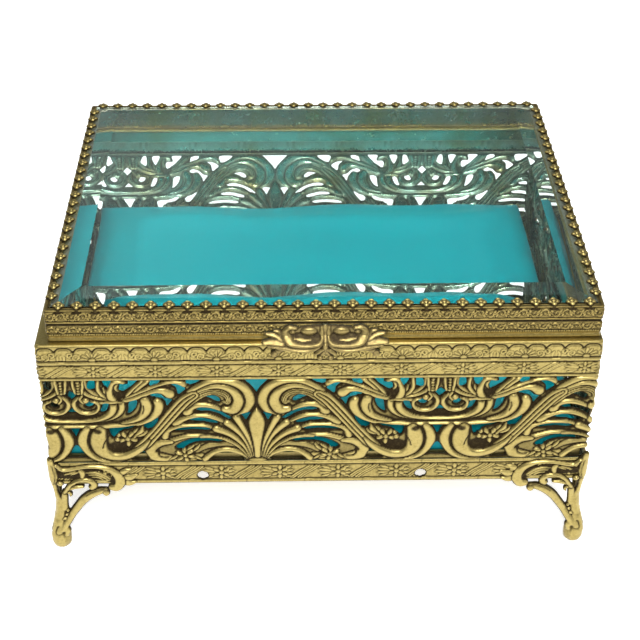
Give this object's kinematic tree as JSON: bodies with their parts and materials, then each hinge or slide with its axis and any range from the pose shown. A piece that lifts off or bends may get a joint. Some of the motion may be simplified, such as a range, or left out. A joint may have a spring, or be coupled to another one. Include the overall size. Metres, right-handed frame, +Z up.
{
  "type": "trinket box",
  "caption": "Footed trinket casket of pierced gilt scrollwork, with a hinged lid of bevelled glass edged by rosettes, a scrolled lift tab and a padded satin cushion inside.",
  "frame": {"origin": "on the floor under the toes, in the middle of the footprint", "axes": "+X to the right along the front, -Y towards the front, +Z up"},
  "size_m": [0.1914, 0.1554, 0.1024],
  "materials": {
    "gilt_filigree": "worn pale antique gilt with dark brown in the recesses",
    "aged_gilt": "duller, greener worn gilt with dark recesses",
    "plain_brass": "plain tarnished sheet brass",
    "bevelled_glass": "clear polished glass with a wide bevel",
    "satin": "turquoise satin",
    "card": "plain grey-brown card"
  },
  "bodies": {
    "casket": {"front_panel": "gilt_filigree", "right_panel": "gilt_filigree", "back_panel": "gilt_filigree", "left_panel": "gilt_filigree", "body_collar": "gilt_filigree", "front_rail": "gilt_filigree", "right_rail": "gilt_filigree", "back_rail": "gilt_filigree", "left_rail": "gilt_filigree", "foot_front_left": "gilt_filigree", "foot_front_right": "gilt_filigree", "foot_back_left": "gilt_filigree", "foot_back_right": "gilt_filigree", "base_tray": "plain_brass", "cushion_board": "card", "cushion_pad": "satin", "casket_leaf_left": "plain_brass", "casket_leaf_right": "plain_brass", "hinge_pin_left": "plain_brass", "hinge_pin_right": "plain_brass"},
    "lid": {"lid_frame": "aged_gilt", "glass_pane": "bevelled_glass", "lift_tab": "aged_gilt", "gallery_front": "gilt_filigree", "gallery_right": "gilt_filigree", "gallery_back": "gilt_filigree", "gallery_left": "gilt_filigree", "lid_leaf_left": "plain_brass", "lid_leaf_right": "plain_brass"}
  },
  "joints": [
    {"name": "lid_hinge", "type": "hinge", "parent": "casket", "child": "lid", "pos_m": [0, 0.0757, 0.088], "axis": [-1, 0, 0], "range_deg": [0, 100]}
  ]
}
